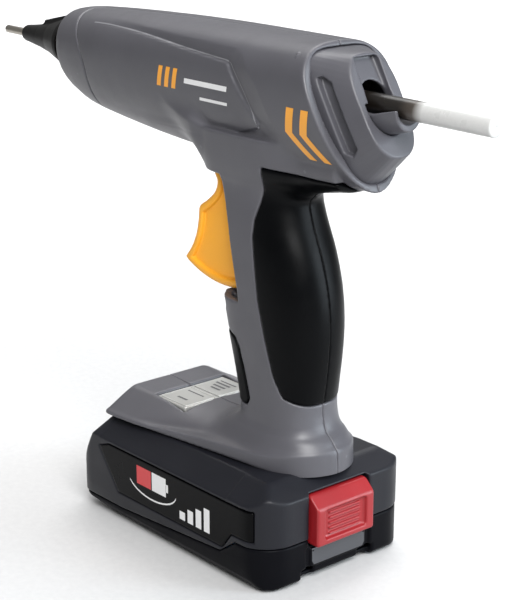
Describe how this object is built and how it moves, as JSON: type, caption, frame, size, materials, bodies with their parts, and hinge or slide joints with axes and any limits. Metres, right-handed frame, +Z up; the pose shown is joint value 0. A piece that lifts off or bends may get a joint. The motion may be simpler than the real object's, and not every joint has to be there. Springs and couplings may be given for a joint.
{
  "type": "cordless glue gun",
  "caption": "Cordless hot glue gun: trigger feeds a glue stick through a melt chamber to a needle nozzle; slide-on battery forms the base.",
  "frame": {"origin": "on the battery's flat underside, on the centre plane, below the front of the handle", "axes": "+X towards the rear, where the glue stick goes in (the nozzle points to -X); +Y to the tool's right-hand side seen from behind; +Z up"},
  "size_m": [0.288, 0.077, 0.2019],
  "materials": {
    "battery_case": "fine satin texture",
    "black_plastic": "satin",
    "board": "solder mask",
    "brass_contact": "pressed sheet",
    "cell_wrap": "shrink wrap over steel can",
    "ceramic": "dry matt",
    "chamber_metal": "cast",
    "frame": "satin",
    "glue": "milky, waxy",
    "grip": "matte soft-touch",
    "housing": "fine satin texture",
    "inlet_silicone": "matt",
    "label_gloss": "high gloss",
    "lead_sleeve": "matt",
    "nozzle_metal": "turned",
    "nylon": "satin",
    "orange_plastic": "fine satin texture",
    "red_plastic": "satin gloss",
    "screw_steel": "plated",
    "silver_plastic": "metallic satin",
    "sleeve": "matt heat-resistant silicone",
    "spring_steel": "bright wire"
  },
  "bodies": {
    "gun": {"chamber_ring_front": "nylon", "chamber_ring_rear": "nylon", "contact_block": "black_plastic", "control_board": "board", "grip_front": "grip", "grip_left": "grip", "grip_right": "grip", "heater_element": "ceramic", "heater_lead_1": "lead_sleeve", "heater_lead_2": "lead_sleeve", "housing_left": "housing", "housing_right": "housing", "housing_screw_1": "screw_steel", "housing_screw_2": "screw_steel", "housing_screw_3": "screw_steel", "housing_screw_4": "screw_steel", "housing_screw_5": "screw_steel", "inlet_sleeve": "inlet_silicone", "key_frame": "silver_plastic", "melt_chamber": "chamber_metal", "nose_collar": "housing", "nozzle": "nozzle_metal", "nozzle_sleeve": "sleeve", "rear_cover": "frame", "stick_guide": "housing", "thermal_sensor": "ceramic", "trigger_pin": "screw_steel", "trigger_spring": "spring_steel"},
    "trigger": {"trigger": "orange_plastic", "drive_pin": "screw_steel"},
    "carriage": {"feed_carriage": "nylon", "grip_jaw": "screw_steel"},
    "stick": {"glue_stick": "glue"},
    "key_1": {"key_1": "silver_plastic"},
    "key_2": {"key_2": "silver_plastic"},
    "battery": {"battery_board": "board", "battery_label_left": "label_gloss", "battery_label_right": "label_gloss", "battery_lower": "battery_case", "battery_screw_1": "screw_steel", "battery_screw_2": "screw_steel", "battery_screw_3": "screw_steel", "battery_screw_4": "screw_steel", "battery_upper": "battery_case", "cell_1": "cell_wrap", "cell_2": "cell_wrap", "cell_3": "cell_wrap", "cell_4": "cell_wrap", "cell_5": "cell_wrap", "cell_holder": "nylon", "contact_1": "brass_contact", "contact_2": "brass_contact", "latch_spring": "spring_steel"},
    "latch_button": {"latch_button": "red_plastic"},
    "latch_hook": {"latch_hook": "black_plastic"}
  },
  "joints": [
    {"name": "trigger_pull", "type": "hinge", "parent": "gun", "child": "trigger", "pos_m": [0.006, 0, 0.151], "axis": [0, -1, 0], "range_deg": [0, 17], "stiffness_Nm_per_rad": 1.2, "springref_deg": -9.74, "deforming": ["trigger_spring"]},
    {"name": "carriage_feed", "type": "slide", "parent": "gun", "child": "carriage", "axis": [-1, 0, 0], "range_m": [0, 0.0064]},
    {"name": "stick_feed", "type": "slide", "parent": "gun", "child": "stick", "axis": [-1, 0, 0], "range_m": [0, 0.0064]},
    {"name": "key_1_press", "type": "slide", "parent": "gun", "child": "key_1", "axis": [0, 0, -1], "range_m": [0, 0.0004], "stiffness_N_per_m": 2500, "springref_m": -0.0004},
    {"name": "key_2_press", "type": "slide", "parent": "gun", "child": "key_2", "axis": [0, 0, -1], "range_m": [0, 0.0004], "stiffness_N_per_m": 2500, "springref_m": -0.0004},
    {"name": "battery_slide", "type": "slide", "parent": "gun", "child": "battery", "axis": [1, 0, 0], "range_m": [0, 0.12]},
    {"name": "latch_press", "type": "slide", "parent": "battery", "child": "latch_button", "axis": [-1, 0, 0], "range_m": [0, 0.003], "stiffness_N_per_m": 1500, "springref_m": -0.003, "deforming": ["latch_spring"]},
    {"name": "latch_drop", "type": "slide", "parent": "battery", "child": "latch_hook", "axis": [0, 0, -1], "range_m": [0, 0.003]}
  ],
  "couplings": [
    {"joint": "carriage_feed", "follows": "trigger_pull", "m_per_rad": 0.0215},
    {"joint": "stick_feed", "follows": "trigger_pull", "m_per_rad": 0.0215},
    {"joint": "latch_drop", "follows": "latch_press", "ratio": 1}
  ]
}
